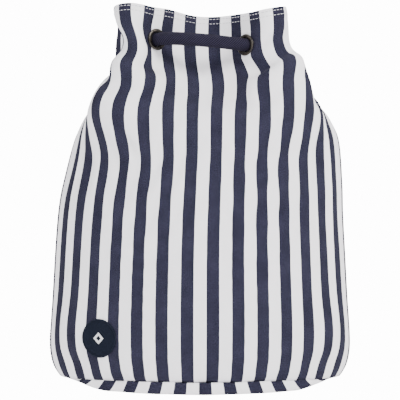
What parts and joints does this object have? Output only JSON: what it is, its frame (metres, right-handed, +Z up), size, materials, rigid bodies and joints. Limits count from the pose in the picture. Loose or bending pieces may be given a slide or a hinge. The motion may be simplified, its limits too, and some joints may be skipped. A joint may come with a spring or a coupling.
{
  "type": "rope backpack",
  "caption": "Striped canvas drawstring rope backpack with an oval base, gathered neck on metal eyelets, cord slider and round sewn badge.",
  "frame": {"origin": "middle of the flat base, on the surface the bag stands on", "axes": "+Z up along the bag, -Y is the front with the badge and the rope's front run, +X to the right seen from the front"},
  "size_m": [0.3424, 0.3184, 0.423],
  "materials": {
    "striped_canvas": "matt, navy and white stripes",
    "seam_tape": "matt",
    "eyelet_metal": "dark antique plating",
    "rope": "matt twill knit",
    "slider_leather": "semi-matt",
    "badge_ground": "embroidered",
    "badge_border_thread": "embroidered",
    "white_thread": "embroidered",
    "label_satin": "satin"
  },
  "bodies": {
    "bag": {"badge_border": "badge_border_thread", "badge_disc": "badge_ground", "badge_motif": "white_thread", "base_binding": "seam_tape", "base_panel": "striped_canvas", "body_back": "striped_canvas", "body_front": "striped_canvas", "care_label": "label_satin", "cord_knot_left": "rope", "cord_knot_right": "rope", "drawcord": "rope", "eyelet_back_left": "eyelet_metal", "eyelet_back_right": "eyelet_metal", "eyelet_corner_left": "eyelet_metal", "eyelet_corner_right": "eyelet_metal", "eyelet_front_left": "eyelet_metal", "eyelet_front_right": "eyelet_metal", "eyelet_left_back": "eyelet_metal", "eyelet_left_front": "eyelet_metal", "eyelet_right_back": "eyelet_metal", "eyelet_right_front": "eyelet_metal", "side_binding_left": "seam_tape", "side_binding_right": "seam_tape", "washer_back_left": "eyelet_metal", "washer_back_right": "eyelet_metal", "washer_corner_left": "eyelet_metal", "washer_corner_right": "eyelet_metal", "washer_front_left": "eyelet_metal", "washer_front_right": "eyelet_metal", "washer_left_back": "eyelet_metal", "washer_left_front": "eyelet_metal", "washer_right_back": "eyelet_metal", "washer_right_front": "eyelet_metal"},
    "slider": {"cord_slider": "slider_leather"}
  },
  "joints": [
    {"name": "slider_along_rope", "type": "slide", "parent": "bag", "child": "slider", "axis": [0, 0.3544, -0.9351], "range_m": [-0.008, 0.06]}
  ]
}
